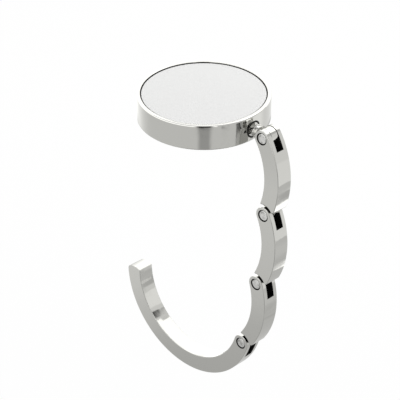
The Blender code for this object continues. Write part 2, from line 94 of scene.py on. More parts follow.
def seen_plainly(tree):
    """The share, 0 or 1, of rays from the camera, or by way of metal or glass."""
    path = node(tree, "ShaderNodeLightPath")
    first = node(tree, "ShaderNodeMath", operation="MAXIMUM")
    both = node(tree, "ShaderNodeMath", operation="MAXIMUM")
    tree.links.new(path.outputs["Is Camera Ray"], first.inputs[0])
    tree.links.new(path.outputs["Is Glossy Ray"], first.inputs[1])
    tree.links.new(first.outputs[0], both.inputs[0])
    tree.links.new(path.outputs["Is Transmission Ray"], both.inputs[1])
    return both.outputs[0]


world = bpy.data.worlds.new("surround")
world.use_nodes = True
tree = world.node_tree
tree.nodes.clear()
white = node(tree, "ShaderNodeBackground", Color=WHITE, Strength=1.0)
light = node(tree, "ShaderNodeBackground", Color=WHITE, Strength=SURROUND_LIGHT)
choice = node(tree, "ShaderNodeMixShader")
output = node(tree, "ShaderNodeOutputWorld")
tree.links.new(seen_plainly(tree), choice.inputs[0])
tree.links.new(light.outputs[0], choice.inputs[1])
tree.links.new(white.outputs[0], choice.inputs[2])
tree.links.new(choice.outputs[0], output.inputs[0])
scene.world = world


def stage_grid(name, points):
    """Makes a stage piece from a grid of points, (rows, columns, 3), in metres."""
    rows, columns = points.shape[:2]
    index = np.arange(rows * columns).reshape(rows, columns)
    faces = np.stack([index[:-1, :-1], index[:-1, 1:], index[1:, 1:], index[1:, :-1]], axis=-1)
    mesh = bpy.data.meshes.new(name)
    mesh.from_pydata(points.reshape(-1, 3).tolist(), [], faces.reshape(-1, 4).tolist())
    made = bpy.data.objects.new(name, mesh)
    scene.collection.objects.link(made)
    return made


def floor_finish():
    """Matt white that takes a shadow, and shows as white where a ray comes straight or by way of metal."""
    made = bpy.data.materials.new("floor_white")
    made.use_nodes = True
    tree = made.node_tree
    tree.nodes.clear()
    matt = node(tree, "ShaderNodeBsdfDiffuse", Color=FLOOR_COLOUR)
    glow = node(tree, "ShaderNodeEmission", Color=WHITE, Strength=FLOOR_GLOW)
    part = node(tree, "ShaderNodeMixShader")
    part.inputs[0].default_value = FLOOR_GLOW_SHARE
    choice = node(tree, "ShaderNodeMixShader")
    output = node(tree, "ShaderNodeOutputMaterial")
    tree.links.new(matt.outputs[0], part.inputs[1])
    tree.links.new(glow.outputs[0], part.inputs[2])
    tree.links.new(seen_plainly(tree), choice.inputs[0])
    tree.links.new(matt.outputs[0], choice.inputs[1])
    tree.links.new(part.outputs[0], choice.inputs[2])
    tree.links.new(choice.outputs[0], output.inputs[0])
    return made


across, along = np.meshgrid([-FLOOR_HALF, FLOOR_HALF], [-FLOOR_HALF, FLOOR_HALF])
floor = stage_grid("floor", np.stack([across, along, np.full_like(across, FLOOR_HEIGHT)], axis=-1))
floor.data.materials.append(floor_finish())


def soft_lamp(name, place, aim, size, power):
    """A lamp with a flat face, width by height, at a place, turned to an aim point."""
    made = bpy.data.objects.new(name, bpy.data.lights.new(name, "AREA"))
    made.data.shape = "RECTANGLE"
    made.data.size, made.data.size_y = size
    made.data.energy = power
    made.location = place
    made.rotation_euler = (Vector(aim) - Vector(place)).to_track_quat("-Z", "Y").to_euler()
    scene.collection.objects.link(made)


soft_lamp("lamp_behind", (-0.10, 0.46, 0.46), MIDDLE, size=(1.2, 0.6), power=4.2)
soft_lamp("lamp_left", (-0.60, -0.35, 0.25), MIDDLE, size=(0.5, 0.5), power=0.8)


# The ring of glowing card: it stands upright close round the chain, with a card floor inside it, and only
# metal shows it. Its levels are painted reflections, which give the chrome its greys, its bands and the dark
# spots near the stud.
CARD_RADIUS = 0.105
CARD_TOP = 0.100
CARD_HOLE_RADIUS = 0.002
CARD_LIFT = 0.001
CARD_COLOUR = (1, 1, 0.985, 1)
CARD_GREY = 0.90
CARD_WHITE = 1.9
CARD_BLACK = 0.02
CARD_SOFTNESS = 0.0005
CARD_GREY_TOP = -0.012
CARD_SIDE_TOP = 0.029
CAMERA_BEARING_DEG = -46.2
LOW_EDGE = (-0.066, -0.058)
RIGHT_SIDE = (62, 78)
PALE_EDGE = -0.0505
BAND_BEARINGS = (84.5, 86, 104, 110)
BAND_FOOT = (-0.135, -0.131)
BAND_HEIGHTS = (-0.110, -0.094, -0.088, -0.072, -0.068)
BAND_LEVELS = (0.72, 0.76, 0.64, 0.66, 0.99)
CORNER_LEAN = (-5, -3, -1.5, 3.8)
CORNER_HEIGHTS = (0.002, 0.005, 0.024, 0.029)
FLASH_BEARINGS = (93, 95.5, 108, 112)
FLASH_HEIGHTS = (-0.141, -0.137, -0.100, -0.094)
RIM_END_HEIGHTS = (-0.066, -0.062, -0.047, -0.043)
# Each patch has the bearings in degrees and the heights in metres at which it starts, is full, fades and
# ends, and how much it lightens the card.
CARD_PATCHES = (
    ((-160, -155, -142, -132), (-0.125, -0.110, -0.062, -0.052), -0.50),
    ((-115, -105, -62, -55), (-0.30, -0.25, -0.130, -0.112), -0.07),
    ((-115, -105, -96, -80), (-0.148, -0.130, -0.105, -0.085), 0.13),
    ((26, 29, 38, 42), (-0.0449, -0.0442, -0.042, -0.038), -0.60),
    ((51.5, 53, 58, 60), (-0.065, -0.060, -0.042, -0.038), -0.62),
    ((84.6, 85.6, 86.8, 87.8), (-0.091, -0.089, -0.084, -0.082), 0.50),
    ((90.5, 92, 94, 96), (-0.132, -0.128, -0.116, -0.112), 0.20),
)


def eased(value, start, end):
    """0 before start, 1 after end, and a smooth step between: 3t squared less 2t cubed."""
    t = np.clip((value - start) / (end - start), 0, 1)
    return t * t * (3 - 2 * t)


def between(value, start, full, fade, end):
    """0 before start and after end, and 1 from full to fade: a smooth step, times one less a later one."""
    return eased(value, start, full) * (1 - eased(value, fade, end))


def right_side_painted_reflections(level, bearing, height):
    """The card's level with its right side drawn in: the painted reflections for the links' outer faces and
    the hook's inner one.

    It is paler above one edge, which is nearly level, and dimmer below it, where a part follows BAND_LEVELS
    at BAND_HEIGHTS instead. It dims again in two steps higher up, and a dark corner leans across it there.
    """
    right = eased(bearing, *RIGHT_SIDE)
    edge = PALE_EDGE - 0.001 * np.abs(np.minimum(bearing, 88) - 82)
    above = eased(height, edge - CARD_SOFTNESS, edge + CARD_SOFTNESS)
    pale = 0.25 + 0.12 * eased(bearing, 84, 88) - 0.24 * eased(bearing, 100, 120)
    dim = (0.06 + 0.10 * eased(bearing, 83, 88)) * (1 - eased(-height, 0.125, 0.150))
    dim = dim + 0.08 * (1 - eased(bearing, 82, 84)) * eased(-height, 0.090, 0.099)
    level = level + right * (above * pale - (1 - above) * dim)
    banded = between(bearing, *BAND_BEARINGS) * eased(height, *BAND_FOOT) * (1 - above)
    level = level + banded * (np.interp(height, BAND_HEIGHTS, BAND_LEVELS) - level)
    level = level - right * (0.09 + 0.12 * eased(bearing, 87, 92)) * eased(height, -0.012, -0.008)
    level = level - 0.35 * right * eased(height, 0.036, 0.045)
    lean = bearing - 95 - 250 * height
    return level - 0.85 * between(lean, *CORNER_LEAN) * between(height, *CORNER_HEIGHTS)


def painted_reflection_levels(bearing, height):
    """The card's painted reflection level, by its bearing from the camera's side in degrees, to the right,
    and its height.

    It is a mid grey that darkens towards the floor and lightens to the left, with its right side and patches
    drawn in. A white flash low on the right shows at the links' lower ends. Above its top, and behind the
    chain, the card is white, with dimmer parts that the rim's two ends show. Below the camera it is darker,
    which fades towards the floor, and black above.
    """
    near = np.abs(bearing - 1.0)
    far = np.abs(bearing)
    low = 1 - eased(height, *LOW_EDGE)
    level = CARD_GREY - 0.06 * eased(height, -0.075, -0.058) - 0.19 * eased(-height, 0.070, 0.165)
    level = right_side_painted_reflections(level + 0.55 * eased(-bearing, 92, 160) * (1 - low), bearing, height)
    for bearings, heights, change in CARD_PATCHES:
        level = level + change * between(bearing, *bearings) * between(height, *heights)
    flash = between(bearing, *FLASH_BEARINGS) * between(height, *FLASH_HEIGHTS)
    flash = flash * (1 - 0.7 * (1 - eased(bearing, 97, 98.5)) * eased(-height, 0.122, 0.126))
    level = level + (CARD_WHITE - level) * flash
    side_top = np.where(bearing < 98, 1.0, CARD_SIDE_TOP + 0.0012 * (bearing - 102))
    top = np.where((bearing > 20) & (bearing < 112), side_top, CARD_GREY_TOP)
    over = eased(height, top - CARD_SOFTNESS, top + CARD_SOFTNESS)
    white = np.maximum(over, eased(far, 160, 167) * eased(height, -0.13, -0.12))
    rim_end = between(height, *RIM_END_HEIGHTS) * (1 - eased(far, 169, 171))
    level = level + (CARD_WHITE - (0.48 + 0.05 * np.sign(bearing)) * rim_end - level) * white
    level = level - 0.45 * eased(far, 171.5, 175) * eased(height, 0.072, 0.075)
    fading = 0.45 - 0.20 * eased(-height, 0.090, 0.110)
    band = 0.35 * (1 - eased(near, 5, 13)) * (1 - low) + fading * (1 - eased(near, 22, 45)) * low
    black = (1 - eased(near, 7, 17)) * eased(height, -0.0455, -0.0425)
    return np.clip((level - band) * (1 - black), CARD_BLACK, None)


def painted_reflection_finish():
    """Card that glows with the painted reflection level that its mesh carries, so that it shows the same
    under any light.
    """
    made = bpy.data.materials.new("painted_reflection_card")
    made.use_nodes = True
    tree = made.node_tree
    tree.nodes.clear()
    grey = node(tree, "ShaderNodeAttribute", attribute_name="grey")
    glow = node(tree, "ShaderNodeEmission", Color=CARD_COLOUR)
    output = node(tree, "ShaderNodeOutputMaterial")
    tree.links.new(grey.outputs["Fac"], glow.inputs["Strength"])
    tree.links.new(glow.outputs[0], output.inputs[0])
    return made


# Each row of the card is its radius times the cosine and sine of its bearing. The first row lies at the hole.
levels = np.linspace(FLOOR_HEIGHT + CARD_LIFT, CARD_TOP, 401)
bearing, height = np.meshgrid(np.linspace(-180, 180, 361), np.insert(levels, 0, levels[0]))
angle = np.radians(bearing + CAMERA_BEARING_DEG)
radius = np.full_like(height, CARD_RADIUS)
radius[0] = CARD_HOLE_RADIUS
card = stage_grid("painted_reflection_ring", np.stack([radius * np.cos(angle), radius * np.sin(angle), height], axis=-1))
greys = card.data.attributes.new("grey", "FLOAT", "POINT")
greys.data.foreach_set("value", painted_reflection_levels(bearing, height).ravel().astype(np.float32))
card.data.materials.append(painted_reflection_finish())
card.visible_camera = False
card.visible_diffuse = False
card.visible_shadow = False


# The disc's housing: a die-cast shell, polished and chrome plated, with a thin lip round a shallow recess.
# The stud's boss and washers are inside it, and its underside is closed by a plate and a rubber pad.
RIM_RADIUS = 17.5
RIM_BOTTOM = 0.4
RIM_TOP = 7.5
RECESS_RADIUS = 16.5
RECESS_FLOOR = 6.7
CAVITY_RADIUS = 16.0
CAVITY_TOP = 5.9
LEDGE_HEIGHT = 1.7
RIM_EDGE_ROUND = 0.4
LIP_EDGE_ROUND = 0.15
STUD_HEIGHT = 3.524
INNER_ROUND = 0.1
DISC_SEGMENTS = 288
WELDS_PER_MM = 2000.0
CHROME_COLOUR = (0.552, 0.55, 0.53, 1)
MM = 0.001


def rounded_path(corners, radii, closed=True, step=11.25):
    """Turns a path's corners into arcs, and gives its points and the unit normal on its right at each.

    An arc starts short of its corner by its radius times the tangent of half the turn. Where the radius is 0
    the corner stays, and its normal is halfway between those of its two sides.
    """
    corners = np.asarray(corners, float)
    radii = np.broadcast_to(np.asarray(radii, float), len(corners))
    before = corners - np.roll(corners, 1, axis=0)
    after = np.roll(corners, -1, axis=0) - corners
    if not closed:
        before[0] = after[0]
        after[-1] = before[-1]
    before /= np.linalg.norm(before, axis=1, keepdims=True)
    after /= np.linalg.norm(after, axis=1, keepdims=True)
    square = before[:, 0] * after[:, 1] - before[:, 1] * after[:, 0]
    turns = np.arctan2(square, (before * after).sum(1))
    points = []
    normals = []
    for corner, radius, way, turn in zip(corners, radii, before, turns):
        right = math.atan2(-way[0], way[1])
        if radius == 0 or abs(turn) < 1e-6:
            swing = np.array([turn / 2])
            centre = corner
            side = 0
        else:
            swing = np.linspace(0, turn, math.ceil(abs(math.degrees(turn)) / step) + 1)
            side = math.copysign(radius, turn)
            unit = np.array([math.cos(right), math.sin(right)])
            centre = corner - way * radius * math.tan(abs(turn) / 2) - side * unit
        facing = np.stack([np.cos(right + swing), np.sin(right + swing)], axis=1)
        points.append(centre + side * facing)
        normals.append(facing)
    return np.concatenate(points), np.concatenate(normals)


Patch = namedtuple("Patch", "points normals loose inner", defaults=(False, False))


def spun(points, normals, axis, segments, inner=False):
    """Turns a profile of (radius, place along the axis) round Z, X or Y, as a grid of points and normals.

    Each point goes by its radius times the turn's cosine one way, and times its sine the other.
    """
    turn = np.linspace(0, 2 * math.pi, segments + 1)
    turn[-1] = 0
    across, along = np.cos(turn)[None, :], np.sin(turn)[None, :]

    def carried(pair):
        first = pair[:, :1] * across
        second = pair[:, :1] * along
        third = np.broadcast_to(pair[:, 1:], first.shape)
        order = {"Z": (first, second, third), "X": (third, first, second), "Y": (second, third, first)}
        return np.stack(order[axis], axis=-1)

    return Patch(carried(np.asarray(points, float)), carried(np.asarray(normals, float)), inner=inner)


def patch_faces(patch):
    """A patch's faces, (count, 3 or 4, 3), as corners and normals: its triangles, or its grid's quads."""
    if patch.loose:
        return patch.points, patch.normals
    both = []
    for grid in (patch.points, patch.normals):
        quads = np.stack([grid[:-1, :-1], grid[1:, :-1], grid[1:, 1:], grid[:-1, 1:]], axis=2)
        both.append(quads.reshape(-1, 4, 3))
    return both


def piece(name, patches, finishes, slot, body, *nodes):
    """Joins patches into one closed mesh, which stands for CAD nodes and rides on a body.

    Each patch is a grid, (rows, columns, 3), or loose triangles, (count, 3, 3), with a normal at each point.
    Corners at one place become one vertex, a quad with two corners there becomes a triangle, and a face is
    turned to agree with its normals. Each face keeps its own corner normals, so a flat face stays flat beside
    a curve, and an inner patch takes the second finish.
    """
    made_faces = {3: [], 4: []}
    every = np.concatenate([patch_faces(patch)[0].reshape(-1, 3) for patch in patches])
    cells = np.round(every * WELDS_PER_MM).astype(np.int64)
    _, first, place = np.unique(cells, axis=0, return_index=True, return_inverse=True)
    place = place.reshape(-1)
    taken = 0
    for patch in patches:
        points, normals = patch_faces(patch)
        sides = points.shape[1]
        index = place[taken:taken + points.shape[0] * sides].reshape(-1, sides)
        taken += index.size
        cross = np.cross(points[:, sides - 2] - points[:, 0], points[:, sides - 1] - points[:, 1])
        if sides == 3:
            cross = np.cross(points[:, 1] - points[:, 0], points[:, 2] - points[:, 0])
        against = (cross * normals.sum(1)).sum(1) < 0
        index = np.where(against[:, None], index[:, ::-1], index)
        normals = np.where(against[:, None, None], normals[:, ::-1], normals)
        twice = index == np.roll(index, -1, axis=1)
        whole = ~twice.any(1)
        made_faces[sides].append((index[whole], normals[whole], patch.inner))
        if sides == 4:
            single = twice.sum(1) == 1
            order = (twice[single].argmax(1)[:, None] + np.array([1, 2, 3])) % 4
            rows = np.arange(single.sum())[:, None]
            made_faces[3].append((index[single][rows, order], normals[single][rows, order], patch.inner))
    runs = made_faces[3] + made_faces[4]
    mesh = bpy.data.meshes.new(name)
    mesh.from_pydata((every[first] * MM).tolist(), [], [face for run in runs for face in run[0].tolist()])
    mesh.shade_smooth()
    mesh.normals_split_custom_set(np.concatenate([run[1].reshape(-1, 3) for run in runs]).tolist())
    inner_faces = np.concatenate([np.full(len(index), int(inner)) for index, _, inner in runs])
    mesh.polygons.foreach_set("material_index", inner_faces)
    for finish in finishes:
        mesh.materials.append(finish)
    made = bpy.data.objects.new(name, mesh)
    scene.collection.objects.link(made)
    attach(made, body)
    if nodes:
        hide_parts(*nodes)


def new_finish(name, **values):
    """Starts a material for a piece, with values for its shader's sockets by name."""
    made = bpy.data.materials.new(name)
    made.use_nodes = True
    for socket, value in values.items():
        made.node_tree.nodes["Principled BSDF"].inputs[socket.replace("_", " ")].default_value = value
    return made


def mottling(made, kind="ShaderNodeTexNoise", value="Fac", squeeze=(1, 1, 1), **settings):
    """The value of a pattern on the piece's own coordinates, squeezed by a factor along each axis."""
    tree = made.node_tree
    place = node(tree, "ShaderNodeTexCoord", -1400)
    spread = node(tree, "ShaderNodeMapping", -1150, Scale=squeeze)
    pattern = node(tree, kind, -900, **settings)
    tree.links.new(place.outputs["Object"], spread.inputs["Vector"])
    tree.links.new(spread.outputs["Vector"], pattern.inputs["Vector"])
    return pattern.outputs[value]


def coloured(made, pattern, dark, light, start=0.0, end=1.0):
    """Gives a material its colour by a pattern's value, from dark at start to light at end."""
    tree = made.node_tree
    ramp = node(tree, "ShaderNodeValToRGB", -600, 200)
    for element, position, colour in zip(ramp.color_ramp.elements, (start, end), (dark, light)):
        element.position = position
        element.color = (*colour, 1)
    tree.links.new(pattern, ramp.inputs["Fac"])
    tree.links.new(ramp.outputs["Color"], tree.nodes["Principled BSDF"].inputs["Base Color"])


def roughened(made, pattern, bright, dull, start=0.0, end=1.0):
    """Gives a material its roughness by a pattern's value, from bright at start to dull at end."""
    tree = made.node_tree
    span = node(tree, "ShaderNodeMapRange", -600, -100,
                From_Min=start, From_Max=end, To_Min=bright, To_Max=dull)
    tree.links.new(pattern, span.inputs["Value"])
    tree.links.new(span.outputs["Result"], tree.nodes["Principled BSDF"].inputs["Roughness"])


def bumped(made, pattern, strength, depth):
    """Raises and lowers a material's surface by a pattern's value, over a depth in metres."""
    tree = made.node_tree
    bump = node(tree, "ShaderNodeBump", -300, -200, Strength=strength, Distance=depth)
    tree.links.new(pattern, bump.inputs["Height"])
    tree.links.new(bump.outputs["Normal"], tree.nodes["Principled BSDF"].inputs["Normal"])


# Bright plate over a polished casting: a faint waviness, and a few dull smears.
chrome = new_finish("polished_chrome", Base_Color=CHROME_COLOUR, Metallic=1.0)
smears = mottling(chrome, Scale=160.0, Detail=5.0, Roughness=0.6)
roughened(chrome, smears, bright=0.045, dull=0.16, start=0.45, end=0.8)
waves = mottling(chrome, Scale=420.0, Detail=1.5, Roughness=0.4)
bumped(chrome, waves, strength=0.035, depth=0.0004)

# The casting inside slots, seats, shoulders and the recess: dull where polishing and plating hardly reach,
# and coloured near black as painted shade for these hollows.
painted_shade_finish = new_finish("painted_hollow_shade", Metallic=1.0, Roughness=0.6)
grit = mottling(painted_shade_finish, Scale=1500.0, Detail=4.0)
coloured(painted_shade_finish, grit, dark=(0.012, 0.012, 0.012), light=(0.05, 0.05, 0.048))
bumped(painted_shade_finish, grit, strength=0.4, depth=0.00004)

shell_corners = [
    (0, CAVITY_TOP), (CAVITY_RADIUS, CAVITY_TOP), (CAVITY_RADIUS, LEDGE_HEIGHT),
    (RECESS_RADIUS, LEDGE_HEIGHT), (RECESS_RADIUS, RIM_BOTTOM), (RIM_RADIUS, RIM_BOTTOM),
    (RIM_RADIUS, RIM_TOP), (RECESS_RADIUS, RIM_TOP), (RECESS_RADIUS, RECESS_FLOOR), (0, RECESS_FLOOR),
]
shell_rounds = [0, INNER_ROUND, INNER_ROUND, INNER_ROUND, LIP_EDGE_ROUND, RIM_EDGE_ROUND, RIM_EDGE_ROUND,
                LIP_EDGE_ROUND, INNER_ROUND, 0]
points, normals = rounded_path(shell_corners, shell_rounds, closed=False)
# The recess starts where the profile first comes down from the lip, and takes the dull near-black finish,
# which is painted shade.
lip = np.flatnonzero((points[:, 0] < RECESS_RADIUS + 0.01) & (points[:, 1] > RECESS_FLOOR))[0]
plated = spun(points[:lip + 1], normals[:lip + 1], "Z", DISC_SEGMENTS)
recess = spun(points[lip:], normals[lip:], "Z", DISC_SEGMENTS, inner=True)
piece("housing", [plated, recess], [chrome, painted_shade_finish], "chrome_plate", "disc", "disc_shell")


# The inlay: a thin pale disc of satin plastic, laid in the recess a little below the lip. Its skin has a soft
# sheen and a very fine moulded grain.
INLAY_RADIUS = 16.22
INLAY_BOTTOM = 6.75
INLAY_TOP = 7.25
INLAY_ROUNDS = (0, 0.05, 0.12, 0)

satin = new_finish("satin_inlay", Roughness=0.38, Specular_IOR_Level=0.35)
cloud = mottling(satin, Scale=70.0, Detail=3.0)
coloured(satin, cloud, dark=(0.785, 0.787, 0.780), light=(0.81, 0.81, 0.805))
grain = mottling(satin, Scale=6000.0, Detail=2.0)
bumped(satin, grain, strength=0.08, depth=0.00002)

inlay_corners = [(0, INLAY_BOTTOM), (INLAY_RADIUS, INLAY_BOTTOM), (INLAY_RADIUS, INLAY_TOP), (0, INLAY_TOP)]
profile = rounded_path(inlay_corners, INLAY_ROUNDS, closed=False)
piece("inlay", [spun(*profile, "Z", DISC_SEGMENTS)], [satin], "pale_inlay", "disc", "inlay_disc")


# The gap shade: a dark ring with a soft lumpy gloss, painted shade for the shadow in the narrow gap round the
# inlay. It fills that gap, sunk towards the recess wall, and shows as a thin line at the back and the sides.
GAP_SHADE_RADIUS = 16.48
GAP_SHADE_LOW = 6.92
GAP_SHADE_STEP = 0.02
GAP_SHADE_DROP = 0.03

gap_shade = new_finish("painted_gap_shade", Roughness=0.55, Specular_IOR_Level=0.25)
gap_shade_mottle = mottling(gap_shade, Scale=900.0, Detail=2.0)
coloured(gap_shade, gap_shade_mottle, dark=(0.012, 0.012, 0.012), light=(0.04, 0.04, 0.038))
bumped(gap_shade, gap_shade_mottle, strength=0.3, depth=0.00005)


def closed(points, normals):
    """The points and normals of a closed outline, with the first of each again at the end."""
    return np.vstack([points, points[:1]]), np.vstack([normals, normals[:1]])


gap_shade_corners = [
    (INLAY_RADIUS, INLAY_BOTTOM), (GAP_SHADE_RADIUS, INLAY_BOTTOM), (GAP_SHADE_RADIUS, GAP_SHADE_LOW),
    (INLAY_RADIUS + GAP_SHADE_STEP, INLAY_TOP - GAP_SHADE_STEP), (INLAY_RADIUS, INLAY_TOP - GAP_SHADE_DROP),
]
profile = closed(*rounded_path(gap_shade_corners, 0))
piece("gap_shade_ring", [spun(*profile, "Z", DISC_SEGMENTS)], [gap_shade], "black_rubber", "disc")


# The grip pad: a soft disc of matt black rubber, with a fine pebbled skin and a little dust in it. It is
# glued under the base plate and keeps the disc from sliding on a table.
PAD_RADIUS = 16.38
PAD_THICKNESS = 1.0
PAD_ROUNDS = (0, 0.25, 0.1, 0)

rubber = new_finish("pad_rubber", Roughness=0.78, Specular_IOR_Level=0.3)
dust = mottling(rubber, Scale=240.0, Detail=6.0)
coloured(rubber, dust, dark=(0.018, 0.018, 0.019), light=(0.045, 0.044, 0.043), start=0.35, end=0.8)
pebbles = mottling(rubber, "ShaderNodeTexVoronoi", "Distance", Scale=2600.0)
bumped(rubber, pebbles, strength=0.5, depth=0.00006)

pad_corners = [(0, 0), (PAD_RADIUS, 0), (PAD_RADIUS, PAD_THICKNESS), (0, PAD_THICKNESS)]
profile = rounded_path(pad_corners, PAD_ROUNDS, closed=False)
piece("rubber_pad", [spun(*profile, "Z", DISC_SEGMENTS)], [rubber], "black_rubber", "disc", "grip_pad")


# Inside the housing: a zinc-plated base plate and flat washer, and a spring-steel wave washer and clip that
# hold the stud. They are the CAD's own pieces, out of sight, with their plating's finish.
STREAK_SQUEEZE = (1, 9, 9)


def plated_steel(name, dark, light, roughness):
    """Rolled or stamped steel: a mottled plate with soft streaks along X."""
    made = new_finish(name, Metallic=1.0)
    streak = mottling(made, squeeze=STREAK_SQUEEZE, Scale=700.0, Detail=4.0)
    coloured(made, streak, dark, light)
    roughened(made, streak, bright=roughness * 0.7, dull=roughness * 1.3)
    bumped(made, streak, strength=0.2, depth=0.00003)
    return made


zinc = plated_steel("zinc_plate", dark=(0.40, 0.41, 0.42), light=(0.56, 0.57, 0.58), roughness=0.36)
spring = plated_steel("spring_steel", dark=(0.20, 0.20, 0.21), light=(0.36, 0.36, 0.37), roughness=0.30)
hidden = {"base_plate": zinc, "flat_washer": zinc, "wave_washer": spring, "retaining_clip": spring}
for name, finish in hidden.items():
    frame["nodes"][name].data.materials.clear()
    frame["nodes"][name].data.materials.append(finish)


# The swivel knuckle: one turned and milled piece. Its stud turns in the housing, a flange stands off the rim,
# and a flat tongue behind the flange carries the first link.
STUD_END = 12.0
STUD_RADIUS = 1.15
FLANGE_RADIUS = 1.85
FLANGE_FACE = 18.45
NECK_RADIUS = 1.7
NECK_START = 18.9
NECK_END = 19.8
STUD_ROUNDS = (0, 0.2, 0.1, 0.12, 0.12, 0.05, 0.2, 0)
TONGUE_HALF = 1.1
TONGUE_EDGE = 0.12
KNUCKLE_TONGUE_RADIUS = 2.35
KNUCKLE_TONGUE_ROOT = (-3.7, 1.4)
TONGUE_TOP = math.radians(142)
HEEL_REACH = 3.1
HEEL_FRONT = math.radians(-82)
HEEL_TIP = math.radians(-82.4)
HEEL_BACK = math.radians(-123)
LATHE_SEGMENTS = 96
hinges = {joint["name"]: joint for joint in frame["joints"]}
_, level, rise = hinges["hinge_1"]["axis"]
CHAIN_TILT = math.atan2(rise, level)


def pin_place(number):
    """A hinge's place in the chain's own plane, from the frame's joint."""
    x, _, z = hinges[f"hinge_{number}"]["pos_m"]
    return x / MM, (z / MM - STUD_HEIGHT) / math.cos(CHAIN_TILT) + STUD_HEIGHT


def polar(radius, angle):
    """The point at a radius and an angle in radians: the radius times the angle's cosine and sine."""
    return radius * np.array([math.cos(angle), math.sin(angle)])


def bend(centre, radius, start, end, count, side=1):
    """Points on an arc between two angles, with normals away from its centre, or towards it if side is -1.

    Each is the centre plus the radius times the angle's cosine and sine.
    """
    angle = np.linspace(start, end, count)
    unit = np.stack([np.cos(angle), np.sin(angle)], axis=1)
    return np.asarray(centre) + radius * unit, side * unit


def chain_arcs(*arcs):
    """Arcs one after the other as one path, with a point that repeats the one before it left out."""
    points = np.concatenate([arc[0] for arc in arcs])
    normals = np.concatenate([arc[1] for arc in arcs])
    step = np.linalg.norm(points - np.roll(points, 1, axis=0), axis=1)
    kept = step > 1e-3
    kept[0] = True
    return points[kept], normals[kept]


def stood(points, normals, across, facing):
    """Puts (x, z) points and normals at a place across the chain. Facing is the normals' share across."""
    tall = np.insert(points, 1, across, axis=-1)
    spread = np.insert(normals * math.sqrt(max(0.0, 1 - facing * facing)), 1, facing, axis=-1)
    return tall, spread


def strip(rows, inner):
    """Rows of points, each with its normals, as one patch."""
    return Patch(np.stack([row[0] for row in rows]), np.stack([row[1] for row in rows]), inner=inner)


def side_wall(points, normals, low, high, low_edge, high_edge, inner=False, steps=5):
    """The wall that an outline sweeps from low to high across the chain, with a quarter-round edge at each.

    Over an edge, the wall steps in by the edge times one minus the sine of the angle, and across by the edge
    times one minus its cosine.
    """
    rows = []
    for end, sign, edge in ((low, -1, low_edge), (high, 1, high_edge)):
        swing = np.radians(np.linspace(0, 90, steps)) if edge else np.array([math.pi / 2])
        if sign > 0:
            swing = swing[::-1]
        for angle in swing:
            inset = points - normals * edge * (1 - math.sin(angle))
            across = end - sign * edge * (1 - math.cos(angle))
            rows.append(stood(inset, normals, across, sign * math.cos(angle)))
    return strip(rows, inner)


def flat_face(points, across, facing, holes=(), inner=False):
    """A flat face across the chain, inside a closed outline and outside round holes, as loose triangles."""
    loops = [points, *holes]
    ring = np.concatenate(loops)
    parts = tessellate_polygon([[Vector((x, z, 0)) for x, z in loop] for loop in loops])
    tall = np.insert(ring, 1, across, axis=-1)[np.array(parts)]
    normals = np.zeros_like(tall)
    normals[..., 1] = facing
    return Patch(tall, normals, loose=True, inner=inner)


def plate(points, normals, half, edge):
    """A flat plate of even thickness about the chain's middle plane, with rounded edges."""
    wall = side_wall(*closed(points, normals), -half, half, edge, edge)
    inset = points - normals * edge
    return [wall, flat_face(inset, -half, -1), flat_face(inset, half, 1)]


def placed(patches, turn, place):
    """Turns patches about Y, moves them to a place in the chain's own plane, and tilts that about the stud.

    Each turn is a matrix of its angle's cosine and sine, and the tilt is applied after the turn and the move.
    """
    c, s = math.cos(turn), math.sin(turn)
    tilt_c, tilt_s = math.cos(CHAIN_TILT), math.sin(CHAIN_TILT)
    tilt = np.array([[1, 0, 0], [0, tilt_c, -tilt_s], [0, tilt_s, tilt_c]])
    matrix = tilt @ np.array([[c, 0, s], [0, 1, 0], [-s, 0, c]])
    shift = tilt @ np.array([place[0], 0, place[1] - STUD_HEIGHT]) + np.array([0, 0, STUD_HEIGHT])
    return [patch._replace(points=patch.points @ matrix.T + shift, normals=patch.normals @ matrix.T)
            for patch in patches]


front, _ = bend((0, 0), KNUCKLE_TONGUE_RADIUS, TONGUE_TOP, HEEL_FRONT, 46)
back, _ = bend((0, 0), KNUCKLE_TONGUE_RADIUS, HEEL_BACK, -TONGUE_TOP, 4)
root = np.array(KNUCKLE_TONGUE_ROOT)
tongue_corners = np.vstack([root, front[:-1], polar(HEEL_REACH, HEEL_TIP), back, root * (1, -1)])
tongue = plate(*rounded_path(tongue_corners[::-1], 0), TONGUE_HALF, TONGUE_EDGE)
stud_corners = [
    (0, STUD_END), (STUD_RADIUS, STUD_END), (STUD_RADIUS, FLANGE_FACE), (FLANGE_RADIUS, FLANGE_FACE),
    (FLANGE_RADIUS, NECK_START), (NECK_RADIUS, NECK_START), (NECK_RADIUS, NECK_END), (0, NECK_END),
]
points, normals = rounded_path(stud_corners, STUD_ROUNDS, closed=False)
stud = placed([spun(points, -normals, "X", LATHE_SEGMENTS)], 0, (0, STUD_HEIGHT))
knuckle = stud + placed(tongue, 0, pin_place(1))
piece("knuckle", knuckle, [chrome], "chrome_plate", "knuckle", "swivel_knuckle")


# The mouth of the stud's bore: a narrow dark ring on the rim round the stud, painted shade where the stud
# goes into the rim.
MOUTH_INNER = 1.85
MOUTH_OUTER = 2.35
MOUTH_PROUD = 0.04
MOUTH_SUNK = 0.1

mouth_corners = [
    (MOUTH_OUTER, -MOUTH_SUNK), (MOUTH_OUTER, MOUTH_PROUD), (MOUTH_INNER, MOUTH_PROUD),
    (MOUTH_INNER, -MOUTH_SUNK),
]
mouth = spun(*closed(*rounded_path(mouth_corners, 0)), "X", LATHE_SEGMENTS)
# The ring follows the rim: X is the root of the rim's radius squared less Y squared.
on_rim = np.sqrt(RIM_RADIUS ** 2 - mouth.points[..., 1] ** 2)
shift = np.stack([on_rim, np.zeros_like(on_rim), np.full_like(on_rim, STUD_HEIGHT)], axis=-1)
piece("bore_mouth_shade", [mouth._replace(points=mouth.points + shift)], [painted_shade_finish], "chrome_plate", "disc")


